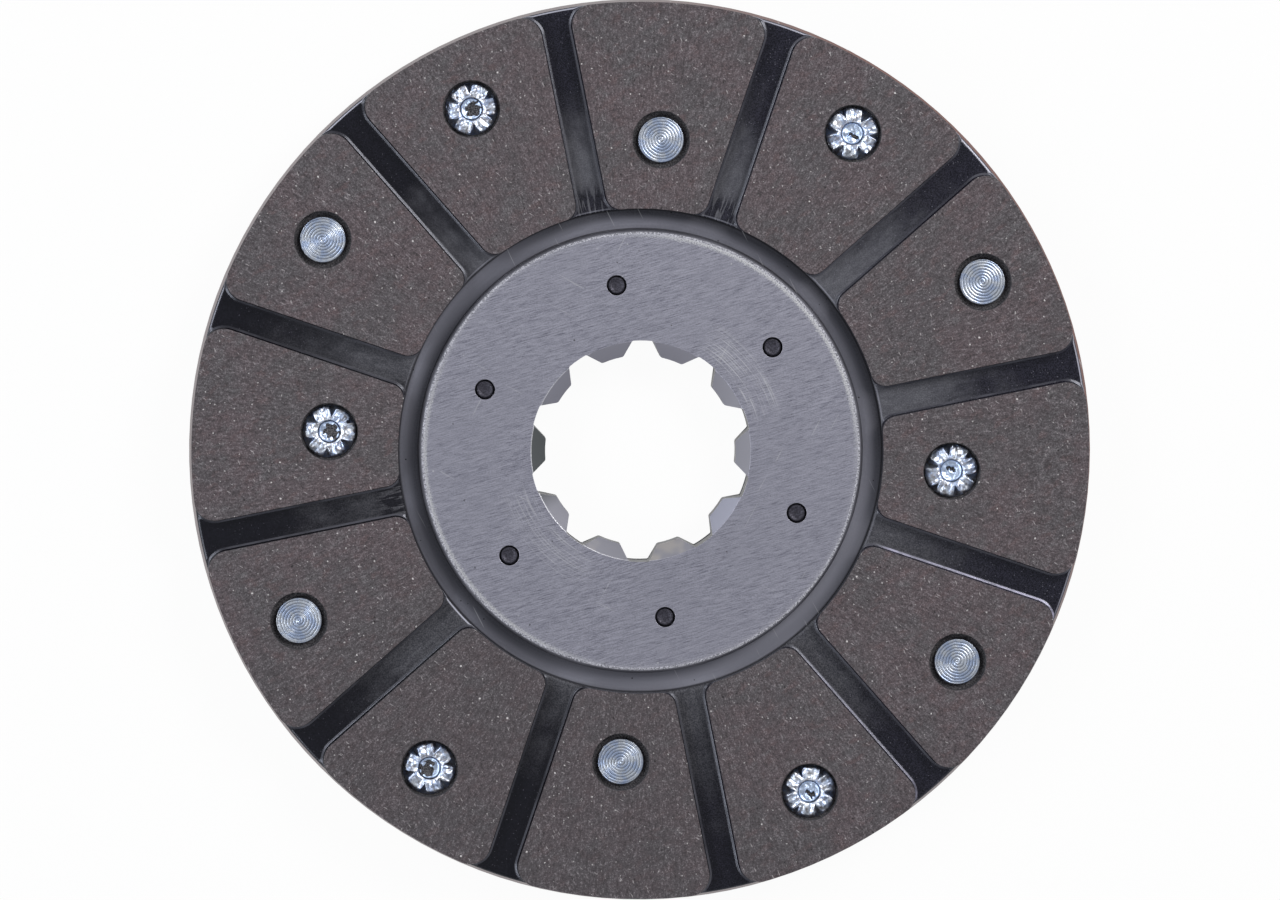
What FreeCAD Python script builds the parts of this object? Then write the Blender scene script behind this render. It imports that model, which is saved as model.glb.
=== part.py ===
import FreeCAD, Part
import math
import os

from FreeCAD import Vector

# Riveted dry brake disc: a steel plate with a splined hub, a moulded friction lining on each face.
# All sizes are in millimetres. The disc's axis is Z and z = 0 is the middle of the steel plate.

# Steel plate that carries both linings
PLATE_RADIUS = 82.5
PLATE_THICKNESS = 4.6
PLATE_EDGE_BEVEL = 0.5

# Hub side plates, one pinned to each face of the steel plate
HUB_RADIUS = 40.6
HUB_PLATE_THICKNESS = 3.0
HUB_EDGE_BEVEL = 0.6

# Splined bore: straight-sided grooves with a conical lead-in on the tooth tips at both ends
SPLINE_COUNT = 10
SPLINE_FIRST_ANGLE = 17.0
SPLINE_TIP_RADIUS = 17.45
SPLINE_DEPTH = 2.8
SPLINE_ROOT_WIDTH = 3.8
SPLINE_MOUTH_WIDTH = 6.9
SPLINE_ROOT_ROUND = 0.4
SPLINE_TIP_ROUND = 0.6
LEAD_IN_UNDER_ROOT = 0.15
LEAD_IN_LAND = 0.4

# Pins that hold the two hub side plates to the steel plate
PIN_COUNT = 6
PIN_FIRST_ANGLE = 38.3
PIN_EDGE_DISTANCE = 9.95
PIN_RADIUS = 1.83
PIN_CLEARANCE = 0.02
PIN_SINK = 0.45
PIN_CHAMFER = 0.35

# Moulded lining with radial grooves that part its face into pads
LINING_THICKNESS = 3.7
LINING_INSET = 0.5
RING_WIDTH = 3.7
GROOVE_COUNT = 12
GROOVE_FIRST_ANGLE = 11.3
GROOVE_WIDTH = 5.7
GROOVE_FLOOR_THICKNESS = 1.2
PAD_OUTER_CORNER = 3.7
PAD_INNER_CORNER = 2.75

# Semi-tubular rivets, one through each pad, set alternately from the front and from the rear
RIVET_OUTER_INSET = 12.3
RIVET_INNER_INSET = 12.7
SHANK_RADIUS = 2.5
SHANK_CLEARANCE = 0.1
SEAT_THICKNESS = 1.2
HEAD_RADIUS = 4.2
HEAD_THICKNESS = 0.9
HEAD_EDGE_BEVEL = 0.2
HEAD_CLEARANCE = 1.0

# Clinched rivet end: the tube is split and rolled outwards into petals
PETAL_COUNT = 6
PETAL_HEIGHT = 1.25
PETAL_TIP_THICKNESS = 0.35
PETAL_CREST_WIDTH = 1.0
PETAL_CLEARANCE = 0.5
NOTCH_START = 0.5
NOTCH_WIDTH = 1.5
TUBE_WALL = 0.63
TUBE_DEPTH = 4.4
TUBE_POINT = 0.8
RIVET_TURN = 23.0

# A cutting tool reaches this far past the face that it opens
TOOL_REACH = 1.0

# Sizes that follow from the ones above
PLATE_FACE = PLATE_THICKNESS / 2
HUB_FACE = PLATE_FACE + HUB_PLATE_THICKNESS
LINING_FACE = PLATE_FACE + LINING_THICKNESS
GROOVE_FLOOR = PLATE_FACE + GROOVE_FLOOR_THICKNESS
RIVET_SEAT = PLATE_FACE + SEAT_THICKNESS

LINING_OUTER_RADIUS = PLATE_RADIUS - LINING_INSET
LINING_INNER_RADIUS = HUB_RADIUS + RING_WIDTH
SPLINE_ROOT_RADIUS = SPLINE_TIP_RADIUS + SPLINE_DEPTH
LEAD_IN_RADIUS = SPLINE_ROOT_RADIUS - LEAD_IN_UNDER_ROOT
PIN_CIRCLE_RADIUS = HUB_RADIUS - PIN_EDGE_DISTANCE

GROOVE_PITCH = 360.0 / GROOVE_COUNT
RIVET_OUTER_CIRCLE = LINING_OUTER_RADIUS - RIVET_OUTER_INSET
RIVET_INNER_CIRCLE = LINING_INNER_RADIUS + RIVET_INNER_INSET
SHANK_HOLE_RADIUS = SHANK_RADIUS + SHANK_CLEARANCE
COUNTERBORE_RADIUS = HEAD_RADIUS + HEAD_CLEARANCE
PETAL_RADIUS = COUNTERBORE_RADIUS - PETAL_CLEARANCE
TUBE_RADIUS = SHANK_RADIUS - TUBE_WALL

AXIS = Vector(0, 0, 1)
ORIGIN = Vector(0, 0, 0)


def polar(radius, angle, height=0.0):
    """Point at a radius and an angle in degrees about the disc's axis."""
    turn = math.radians(angle)
    return Vector(radius * math.cos(turn), radius * math.sin(turn), height)


def half_angle(width, radius):
    """Angle in degrees from the middle to the side of a slot of this width at this radius."""
    return math.degrees(math.asin(width / 2 / radius))


def turned(shape, angle, centre=ORIGIN):
    """Copy of a shape, turned by an angle in degrees about an upright axis."""
    copy = shape.copy()
    copy.rotate(centre, AXIS, angle)
    return copy


def mirrored(shape):
    """The same shape on the other face of the steel plate."""
    return shape.mirror(ORIGIN, AXIS)


def disc(radius, low, high, centre=ORIGIN):
    """Upright cylinder between two heights."""
    return Part.makeCylinder(radius, high - low, Vector(centre.x, centre.y, low), AXIS)


def revolved(corners):
    """Solid of revolution about Z from the corners of an outline in the XZ plane."""
    outline = Part.makePolygon(corners + corners[:1])
    return Part.Face(outline).revolve(ORIGIN, AXIS, 360)


def upright_edges(shape, radius):
    """Edges parallel to the axis at this distance from it."""
    found = []
    for edge in shape.Edges:
        start, end = edge.Vertexes[0].Point, edge.Vertexes[-1].Point
        level = math.isclose(start.x, end.x, abs_tol=1e-4) and math.isclose(start.y, end.y, abs_tol=1e-4)
        if level and math.isclose(math.hypot(start.x, start.y), radius, abs_tol=1e-3):
            found.append(edge)
    return found


def rim_edges(shape, radius, height):
    """Circles about the axis with this radius at this height."""
    found = []
    for edge in shape.Edges:
        if not isinstance(edge.Curve, Part.Circle):
            continue
        if math.isclose(edge.Curve.Radius, radius, abs_tol=1e-3):
            if math.isclose(edge.Curve.Center.z, height, abs_tol=1e-3):
                found.append(edge)
    return found


def spline_tool():
    """The opening of the splined bore through the whole hub."""
    low = -HUB_FACE - TOOL_REACH
    high = HUB_FACE + TOOL_REACH
    pitch = 360.0 / SPLINE_COUNT
    root_half = half_angle(SPLINE_ROOT_WIDTH, SPLINE_ROOT_RADIUS)
    mouth_half = half_angle(SPLINE_MOUTH_WIDTH, SPLINE_TIP_RADIUS)
    edges = []
    for index in range(SPLINE_COUNT):
        middle = SPLINE_FIRST_ANGLE + index * pitch
        mouth_start = polar(SPLINE_TIP_RADIUS, middle - mouth_half, low)
        root_start = polar(SPLINE_ROOT_RADIUS, middle - root_half, low)
        root_middle = polar(SPLINE_ROOT_RADIUS, middle, low)
        root_end = polar(SPLINE_ROOT_RADIUS, middle + root_half, low)
        mouth_end = polar(SPLINE_TIP_RADIUS, middle + mouth_half, low)
        tip_middle = polar(SPLINE_TIP_RADIUS, middle + pitch / 2, low)
        next_mouth = polar(SPLINE_TIP_RADIUS, middle + pitch - mouth_half, low)
        edges.append(Part.LineSegment(mouth_start, root_start).toShape())
        edges.append(Part.Arc(root_start, root_middle, root_end).toShape())
        edges.append(Part.LineSegment(root_end, mouth_end).toShape())
        edges.append(Part.Arc(mouth_end, tip_middle, next_mouth).toShape())
    tool = Part.Face(Part.Wire(edges)).extrude(Vector(0, 0, high - low))
    tool = tool.makeFillet(SPLINE_ROOT_ROUND, upright_edges(tool, SPLINE_ROOT_RADIUS))
    return tool.makeFillet(SPLINE_TIP_ROUND, upright_edges(tool, SPLINE_TIP_RADIUS))


def lead_in_tool():
    """Cone that opens the tooth tips towards the hub's front face."""
    depth = HUB_PLATE_THICKNESS - LEAD_IN_LAND
    slope = (LEAD_IN_RADIUS - SPLINE_TIP_RADIUS) / depth
    mouth = LEAD_IN_RADIUS + slope * TOOL_REACH
    base = Vector(0, 0, HUB_FACE - depth)
    return Part.makeCone(SPLINE_TIP_RADIUS, mouth, depth + TOOL_REACH, base, AXIS)


def pin_places():
    """Centres of the hub pins."""
    pitch = 360.0 / PIN_COUNT
    return [polar(PIN_CIRCLE_RADIUS, PIN_FIRST_ANGLE + index * pitch) for index in range(PIN_COUNT)]


def pin_holes():
    """Holes for the hub pins through all three steel plates."""
    radius = PIN_RADIUS + PIN_CLEARANCE
    low = -HUB_FACE - TOOL_REACH
    high = HUB_FACE + TOOL_REACH
    return [disc(radius, low, high, place) for place in pin_places()]


def pad_angle(index):
    """Direction of the middle of a pad, which is also that of its rivet."""
    return GROOVE_FIRST_ANGLE + (index + 0.5) * GROOVE_PITCH


def rivet_place(index):
    """Centre of a rivet: two near the rim, then one near the hub."""
    near_hub = index % 3 == 2
    radius = RIVET_INNER_CIRCLE if near_hub else RIVET_OUTER_CIRCLE
    return polar(radius, pad_angle(index))


def rivet_holes(radius, low, high):
    """One straight hole at each rivet."""
    return [disc(radius, low, high, rivet_place(index)) for index in range(GROOVE_COUNT)]


def core_plate():
    """Steel plate with the splined bore, the pin holes and the rivet holes."""
    plate = disc(PLATE_RADIUS, -PLATE_FACE, PLATE_FACE)
    rims = rim_edges(plate, PLATE_RADIUS, PLATE_FACE) + rim_edges(plate, PLATE_RADIUS, -PLATE_FACE)
    plate = plate.makeChamfer(PLATE_EDGE_BEVEL, rims)
    drills = rivet_holes(SHANK_HOLE_RADIUS, -PLATE_FACE - TOOL_REACH, PLATE_FACE + TOOL_REACH)
    return plate.cut([spline_tool()] + pin_holes() + drills)


def front_hub_plate():
    """Side plate of the hub: bevelled outer edge, splined bore with its conical lead-in."""
    plate = disc(HUB_RADIUS, PLATE_FACE, HUB_FACE)
    plate = plate.makeChamfer(HUB_EDGE_BEVEL, rim_edges(plate, HUB_RADIUS, HUB_FACE))
    return plate.cut([spline_tool(), lead_in_tool()] + pin_holes())


def hub_pin(place):
    """Straight pin with bevelled ends, sunk below both hub faces."""
    end = HUB_FACE - PIN_SINK
    pin = disc(PIN_RADIUS, -end, end, place)
    rims = [edge for edge in pin.Edges if isinstance(edge.Curve, Part.Circle)]
    return pin.makeChamfer(PIN_CHAMFER, rims)


def lining_pad():
    """One pad of the lining face, between two grooves, with rounded corners."""
    middle = pad_angle(0)
    reach = GROOVE_PITCH / 2
    outer = reach - half_angle(GROOVE_WIDTH, LINING_OUTER_RADIUS)
    inner = reach - half_angle(GROOVE_WIDTH, LINING_INNER_RADIUS)
    base = GROOVE_FLOOR
    corners = [
        polar(LINING_INNER_RADIUS, middle - inner, base),
        polar(LINING_OUTER_RADIUS, middle - outer, base),
        polar(LINING_OUTER_RADIUS, middle + outer, base),
        polar(LINING_INNER_RADIUS, middle + inner, base),
    ]
    outline = Part.Wire([
        Part.LineSegment(corners[0], corners[1]).toShape(),
        Part.Arc(corners[1], polar(LINING_OUTER_RADIUS, middle, base), corners[2]).toShape(),
        Part.LineSegment(corners[2], corners[3]).toShape(),
        Part.Arc(corners[3], polar(LINING_INNER_RADIUS, middle, base), corners[0]).toShape(),
    ])
    pad = Part.Face(outline).extrude(Vector(0, 0, LINING_FACE - base))
    pad = pad.makeFillet(PAD_OUTER_CORNER, upright_edges(pad, LINING_OUTER_RADIUS))
    return pad.makeFillet(PAD_INNER_CORNER, upright_edges(pad, LINING_INNER_RADIUS))


def front_lining():
    """Moulded ring with raised pads, and a counterbored rivet hole in each pad."""
    floor = disc(LINING_OUTER_RADIUS, PLATE_FACE, GROOVE_FLOOR)
    pad = lining_pad()
    lining = floor.fuse([turned(pad, index * GROOVE_PITCH) for index in range(GROOVE_COUNT)])
    bore = disc(LINING_INNER_RADIUS, PLATE_FACE - TOOL_REACH, LINING_FACE + TOOL_REACH)
    drills = rivet_holes(SHANK_HOLE_RADIUS, PLATE_FACE - TOOL_REACH, LINING_FACE)
    counterbores = rivet_holes(COUNTERBORE_RADIUS, RIVET_SEAT, LINING_FACE + TOOL_REACH)
    return lining.cut([bore] + drills + counterbores).removeSplitter()


def petal_notches():
    """Wedges that split the rolled end of a rivet into petals."""
    apex = SHANK_RADIUS + NOTCH_START
    half = NOTCH_WIDTH / 2
    run = PETAL_RADIUS - apex
    beyond = (run + TOOL_REACH) / run
    corners = [
        Vector(apex, 0, RIVET_SEAT),
        Vector(apex + run * beyond, -half * beyond, RIVET_SEAT),
        Vector(apex + run * beyond, half * beyond, RIVET_SEAT),
    ]
    outline = Part.makePolygon(corners + corners[:1])
    wedge = Part.Face(outline).extrude(Vector(0, 0, PETAL_HEIGHT + TOOL_REACH))
    return [turned(wedge, index * 360.0 / PETAL_COUNT) for index in range(PETAL_COUNT)]


def rivet_blank():
    """Semi-tubular rivet on the Z axis: flat head below, rolled and split end above."""
    head_low = -RIVET_SEAT - HEAD_THICKNESS
    crest_radius = (TUBE_RADIUS + PETAL_RADIUS) / 2
    tube_end = RIVET_SEAT - TUBE_DEPTH
    crest = RIVET_SEAT + PETAL_HEIGHT
    lip = RIVET_SEAT + PETAL_TIP_THICKNESS
    outline = [
        Vector(0, 0, tube_end - TUBE_POINT),
        Vector(0, 0, head_low),
        Vector(HEAD_RADIUS - HEAD_EDGE_BEVEL, 0, head_low),
        Vector(HEAD_RADIUS, 0, head_low + HEAD_EDGE_BEVEL),
        Vector(HEAD_RADIUS, 0, -RIVET_SEAT),
        Vector(SHANK_RADIUS, 0, -RIVET_SEAT),
        Vector(SHANK_RADIUS, 0, RIVET_SEAT),
        Vector(PETAL_RADIUS, 0, RIVET_SEAT),
        Vector(PETAL_RADIUS, 0, lip),
        Vector(crest_radius + PETAL_CREST_WIDTH / 2, 0, crest),
        Vector(crest_radius - PETAL_CREST_WIDTH / 2, 0, crest),
        Vector(TUBE_RADIUS, 0, lip),
        Vector(TUBE_RADIUS, 0, tube_end),
    ]
    return revolved(outline).cut(petal_notches())


def rivet(index, blank):
    """One rivet in its pad. Every second one has its rolled end at the front."""
    shape = blank if index % 2 == 1 else mirrored(blank)
    shape = turned(shape, index * RIVET_TURN)
    shape.translate(rivet_place(index))
    return shape


def all_parts():
    """Every piece of the disc by its name."""
    hub_plate = front_hub_plate()
    lining = front_lining()
    parts = {
        "core_plate": core_plate(),
        "front_hub_plate": hub_plate,
        "rear_hub_plate": mirrored(hub_plate),
        "front_lining": lining,
        "rear_lining": mirrored(lining),
    }
    for index, place in enumerate(pin_places()):
        parts[f"hub_pin_{index + 1}"] = hub_pin(place)
    blank = rivet_blank()
    for index in range(GROOVE_COUNT):
        parts[f"rivet_{index + 1:02d}"] = rivet(index, blank)
    return parts


os.makedirs("parts", exist_ok=True)
for name, shape in all_parts().items():
    shape.exportStep(f"parts/{name}.step")
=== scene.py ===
import functools
import math
import random

import bmesh
import bpy
from mathutils import Matrix, Vector, noise


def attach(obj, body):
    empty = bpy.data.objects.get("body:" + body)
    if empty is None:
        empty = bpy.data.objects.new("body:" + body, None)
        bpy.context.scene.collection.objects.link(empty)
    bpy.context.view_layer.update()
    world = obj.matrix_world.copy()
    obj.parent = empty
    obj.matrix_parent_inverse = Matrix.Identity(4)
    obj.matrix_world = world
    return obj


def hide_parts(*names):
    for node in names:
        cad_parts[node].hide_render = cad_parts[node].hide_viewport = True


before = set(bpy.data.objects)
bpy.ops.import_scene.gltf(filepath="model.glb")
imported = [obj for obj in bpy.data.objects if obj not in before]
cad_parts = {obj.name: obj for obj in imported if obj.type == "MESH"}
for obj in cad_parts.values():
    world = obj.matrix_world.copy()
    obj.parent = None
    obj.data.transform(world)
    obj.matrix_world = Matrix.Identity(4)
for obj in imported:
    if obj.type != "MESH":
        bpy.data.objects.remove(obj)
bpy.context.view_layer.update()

# Sizes are in millimetres and shared with the solids.
# Each mesh is brought to metres when its piece is made.
MM = 0.001

PLATE_FACE = 2.3
HUB_FACE = 5.3
HUB_RADIUS = 40.6
HUB_EDGE_BEVEL = 0.6
HUB_EDGE_ROUND = 0.3
HUB_EDGE_BREAK = 0.10
HUB_ROUND_SEGMENTS = 3
HUB_BREAK_SEGMENTS = 2
HUB_BREAK_ANGLE = 25

# The lead-in cone at the bore: its radius at the disc's middle plane
# and how fast it widens with height
LEAD_IN_START = 14.70
LEAD_IN_SLOPE = 1.019

LINING_FACE = 6.0
LINING_OUTER_RADIUS = 82.0
LINING_INNER_RADIUS = 44.3
WEB_TOP = 3.5
GROOVE_COUNT = 12
GROOVE_FIRST_ANGLE = 11.3
GROOVE_PITCH = 30.0
GROOVE_WIDTH = 5.7
PAD_OUTER_CORNER = 3.7
PAD_INNER_CORNER = 2.75
GROOVE_FILLET = 0.40
WEB_EDGE_ROUND = 0.30
GROOVE_SLOPE_WIDTH = 0.25
WEB_SLOPE_WIDTH = 0.20
SLOPE = 0.42

# The pad's broken edge: how far each step is drawn in and how far down it lies
PAD_EDGE = ((0.10, 0.0), (0.03, 0.03), (0.0, 0.10))

COUNTERBORE_RADIUS = 5.2
SEAT_HEIGHT = 3.5
SHANK_HOLE_RADIUS = 2.6
HOLE_CHIPPING = 0.11
RIVET_OUTER_CIRCLE = 69.7
RIVET_INNER_CIRCLE = 57.0

SHANK_RADIUS = 2.5
HEAD_RADIUS = 4.2
HEAD_THICKNESS = 0.9
HEAD_EDGE_ROUND = 0.18

# The turned rings on a head: pitch, depth, how far they swell, waver and fade at the edge,
# and the rough mark at the centre
TURNED_PITCH = 0.54
TURNED_DEPTH = 0.046
TURNED_SWELL = 0.4
TURNED_WOBBLE = 0.09
TURNED_FADE = 0.15
CENTRE_MARK_RADIUS = 0.5
CENTRE_MARK_DEPTH = 0.03

PETAL_COUNT = 6
PETAL_PITCH = 360.0 / PETAL_COUNT
PETAL_ROOT = 2.5
PETAL_RADIUS = 4.85
PETAL_HEIGHT = 1.04
SPLIT_START = 2.7
TUBE_RADIUS = 1.87
MOUTH_RADIUS = 2.05

# How a petal is ruffled: its tip, its curled sides, its folds and creases, where they set in
# from the mouth outwards and from the seat upwards, and how low they may reach
TIP_RAGGED = 0.22
SHARE_LIMIT = 1.3
EDGE_CURL = 0.15
EDGE_CURL_START = 0.62
CRUMPLE = 0.16
CREASE = 0.045
SWELL_START = 2.0
SWELL_WIDTH = 0.8
PETAL_TOP_START = 0.4
PETAL_LEAST_HEIGHT = 0.3

RIVET_TURN = 23.0
RIVET_SEED = 600

PIN_CIRCLE_RADIUS = 30.65
PIN_FIRST_ANGLE = 38.3
PIN_COUNT = 6
PIN_RADIUS = 1.83
PIN_END = 4.85

# The pin's dished end from its middle outwards: radius and depth under the end
PIN_DISH = (
    (0.0, 0.20), (0.7, 0.19), (1.05, 0.13), (1.2, 0.03), (1.32, 0.0), (1.46, 0.05), (1.62, 0.22),
    (PIN_RADIUS - 0.03, 0.42), (PIN_RADIUS, 0.6),
)

# A point this close to an edge counts as on it
EDGE_REACH = 0.0005

# Points this close are merged; the wider reach is for a whole lining and a solid's copy
MERGE_REACH = 0.0008
WIDE_MERGE_REACH = 0.002

# Points along a pad's side and rims, across a groove and round the turned pieces
CORNER_STEPS = 12
SIDE_STEPS = 10
OUTER_ARC_STEPS = 22
INNER_ARC_STEPS = 12
GROOVE_COLUMNS = 34
HOLE_STEPS = 84
PIN_STEPS = 40
RIVET_STEPS = 144

# How strongly points crowd towards a corner's end and towards a groove's sides
CORNER_CROWDING = 1.3
COLUMN_CROWDING = 1.8


def polar(radius, angle):
    """Point in the disc's plane at a radius and an angle in degrees."""
    turn = math.radians(angle)
    return Vector((radius * math.cos(turn), radius * math.sin(turn), 0.0))


def pad_angle(index):
    """Direction of the middle of a pad, which is also that of its rivet."""
    return GROOVE_FIRST_ANGLE + (index + 0.5) * GROOVE_PITCH


def rivet_place(index):
    """Centre of a rivet: two near the rim, then one near the hub."""
    near_hub = index % 3 == 2
    return polar(RIVET_INNER_CIRCLE if near_hub else RIVET_OUTER_CIRCLE, pad_angle(index))


def of_kind(geometry, kind):
    """The vertices or edges among what an operator made."""
    return [item for item in geometry if isinstance(item, kind)]


def closed_loop(bm, points):
    """Vertices joined to a ring of edges."""
    verts = [bm.verts.new(point) for point in points]
    return [bm.edges.new((verts[i - 1], verts[i])) for i in range(len(verts))]


def swept(bm, rings):
    """Skin through rings of points, each ring extruded from the one before.

    Gives the edges of the first ring and of the last.
    """
    first = edges = closed_loop(bm, rings[0])
    order = {edge.verts[1]: step for step, edge in enumerate(edges)}
    for ring in rings[1:]:
        made = bmesh.ops.extrude_edge_only(bm, edges=edges)["geom"]
        fresh = {}
        for vert in of_kind(made, bmesh.types.BMVert):
            neighbours = (edge.other_vert(vert) for edge in vert.link_edges)
            step = next(order[other] for other in neighbours if other in order)
            fresh[vert] = step
            vert.co = ring[step]
        made_edges = of_kind(made, bmesh.types.BMEdge)
        edges = [edge for edge in made_edges if all(vert in fresh for vert in edge.verts)]
        order = fresh
    return first, edges


def fill_between(bm, edges, normal=(0, 0, 1)):
    """Flat face between rings of edges."""
    bmesh.ops.triangle_fill(bm, use_beauty=True, use_dissolve=False, edges=edges, normal=normal)


def add_piece(name, bm, materials, nodes):
    """Make a closed mesh in millimetres into a piece that stands for these CAD nodes."""
    bmesh.ops.remove_doubles(bm, verts=bm.verts, dist=MERGE_REACH)
    bmesh.ops.recalc_face_normals(bm, faces=bm.faces)
    bmesh.ops.scale(bm, vec=(MM, MM, MM), verts=bm.verts)
    mesh = bpy.data.meshes.new(name)
    bm.to_mesh(mesh)
    bm.free()
    for material in materials:
        mesh.materials.append(material)
    mesh.shade_smooth()
    piece = bpy.data.objects.new(name, mesh)
    bpy.context.scene.collection.objects.link(piece)
    weighted = piece.modifiers.new("Face weighted normals", "WEIGHTED_NORMAL")
    weighted.keep_sharp = True
    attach(piece, "root")
    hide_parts(*nodes)
    return piece


# Materials

# Vertex values on the rivets: grime down in the turned rings, painted shade in the folds' creases
# and at the tube's mouth, the hollow, and the grinding dust in it
DIRT_AND_SHADE = "dirt_and_shade"
HOLLOW = "hollow"
DUST = "dust"

# Painted shade at the mouth of a tube, dark enough to hide the zinc there
MOUTH_SHADE = 1.5


class Maker:
    """Builds one node material whose patterns are laid out in millimetres on the object."""

    def __init__(self, name, **sockets):
        self.material = bpy.data.materials.new(name)
        self.material.use_nodes = True
        self.tree = self.material.node_tree
        self.shader = self.tree.nodes["Principled BSDF"]
        for socket, value in sockets.items():
            self.shader.inputs[socket.replace("_", " ")].default_value = value

    def node(self, kind, inputs=None, **settings):
        made = self.tree.nodes.new(kind)
        for setting, value in settings.items():
            setattr(made, setting, value)
        for socket, value in (inputs or {}).items():
            if isinstance(value, bpy.types.NodeSocket):
                self.tree.links.new(value, made.inputs[socket])
            else:
                made.inputs[socket].default_value = value
        return made

    def mapped(self, vector, scale=(1, 1, 1), turn=0.0, move=(0, 0, 0)):
        """The pattern's coordinates: turned in the disc's plane, then scaled."""
        if turn:
            vector = self.node("ShaderNodeMapping", {
                "Vector": vector, "Rotation": (0, 0, math.radians(-turn))}).outputs[0]
        return self.node("ShaderNodeMapping", {
            "Vector": vector, "Scale": scale, "Location": move}).outputs[0]

    @functools.cached_property
    def place(self):
        """The object's own coordinates in millimetres."""
        place = self.node("ShaderNodeTexCoord").outputs["Object"]
        return self.mapped(place, scale=(1 / MM, 1 / MM, 1 / MM))

    @functools.cached_property
    def shaken_place(self):
        """The same coordinates shaken a little."""
        shake = self.node("ShaderNodeTexNoise", {
            "Vector": self.place, "Scale": 3.2, "Detail": 2.0}).outputs["Color"]
        shake = self.node("ShaderNodeVectorMath", {
            0: shake, 1: (0.34, 0.34, 0)}, operation="MULTIPLY").outputs[0]
        return self.node("ShaderNodeVectorMath", {0: self.place, 1: shake}).outputs[0]

    def frayed(self, move=(0, 0, 0), scale=(1, 1, 1), turn=0.0):
        """Shaken coordinates, so that spots laid out on them get ragged outlines."""
        return self.mapped(self.shaken_place, scale, turn, move)

    def noise(self, scale, detail=2.0, vector=None, rough=0.5):
        return self.node("ShaderNodeTexNoise", {
            "Vector": vector or self.place, "Scale": scale, "Detail": detail,
            "Roughness": rough}).outputs["Fac"]

    def band(self, value, low, high, first=0.0, last=1.0):
        """Value mapped from low..high to first..last, held at the ends."""
        return self.node("ShaderNodeMapRange", {
            "Value": value, "From Min": low, "From Max": high,
            "To Min": first, "To Max": last}, interpolation_type="SMOOTHSTEP").outputs[0]

    def falling(self, value, low, high):
        """1 up to low, then falling to 0 at high."""
        return self.band(value, low, high, 1.0, 0.0)

    def between(self, value, start, rise, fall, end):
        """0 outside start..end and 1 within rise..fall."""
        return self.times(self.band(value, start, rise), self.falling(value, fall, end))

    def math(self, operation, first, second=0.0):
        return self.node("ShaderNodeMath", {0: first, 1: second}, operation=operation).outputs[0]

    def times(self, product, *others):
        for other in others:
            product = self.math("MULTIPLY", product, other)
        return product

    def plus(self, total, *others):
        for other in others:
            total = self.math("ADD", total, other)
        return total

    def mix(self, factor, first, second):
        made = self.node("ShaderNodeMix", data_type="RGBA")
        for socket, value in ((0, factor), (6, first), (7, second)):
            if isinstance(value, bpy.types.NodeSocket):
                self.tree.links.new(value, made.inputs[socket])
            elif socket:
                made.inputs[socket].default_value = (*value, 1.0)
            else:
                made.inputs[socket].default_value = value
        return made.outputs[2]

    def specks(self, scale, size, spread=0.6, vector=None):
        """Scattered small spots of differing size: 1 inside a spot, 0 outside."""
        cells = self.node("ShaderNodeTexVoronoi", {
            "Vector": vector or self.place, "Scale": scale, "Randomness": 1.0})
        luck = self.node("ShaderNodeSeparateColor", {0: cells.outputs["Color"]}).outputs[0]
        reach = self.times(self.band(luck, 1.0 - spread, 1.0), size)
        inside = self.math("SUBTRACT", reach, cells.outputs["Distance"])
        return self.band(inside, 0.0, 0.06)

    def radius(self):
        """Distance from the disc's axis in millimetres."""
        flat = self.mapped(self.place, scale=(1, 1, 0))
        return self.node("ShaderNodeVectorMath", {0: flat}, operation="LENGTH").outputs["Value"]

    def around(self, radial_scale, turn_scale):
        """Coordinates that follow circles about the disc's axis."""
        parts = self.node("ShaderNodeSeparateXYZ", {0: self.place}).outputs
        angle = self.math("ARCTAN2", parts[1], parts[0])
        return self.node("ShaderNodeCombineXYZ", {
            0: self.times(self.radius(), radial_scale),
            1: self.times(angle, turn_scale)}).outputs[0]

    def height(self):
        """Distance from the middle plane of the disc in millimetres."""
        parts = self.node("ShaderNodeSeparateXYZ", {0: self.place}).outputs
        return self.math("ABSOLUTE", parts[2])

    def facing(self, angle, reach):
        """1 at this angle of the disc, fading to 0 at this reach in degrees to either hand."""
        side = self.node("ShaderNodeVectorMath", {
            0: self.place, 1: polar(1.0, angle)}, operation="DOT_PRODUCT")
        share = self.math("DIVIDE", side.outputs["Value"], self.radius())
        return self.band(share, math.cos(math.radians(reach)), math.cos(math.radians(reach * 0.4)))

    def scratches(self, turn, rare):
        """A few long thin scratches in one direction, fewer where rare is higher."""
        run = self.mapped(self.place, (0.075, 1.7, 1), turn=turn, move=(turn, 2 * turn, 0))
        return self.band(self.noise(1.0, 1.0, vector=run), rare, rare + 0.03)

    def colour(self, value):
        self.tree.links.new(value, self.shader.inputs["Base Color"])

    def roughness(self, value):
        self.tree.links.new(value, self.shader.inputs["Roughness"])

    def bump(self, height, depth):
        made = self.node("ShaderNodeBump", {"Height": height, "Distance": depth * MM})
        self.tree.links.new(made.outputs[0], self.shader.inputs["Normal"])


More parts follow.
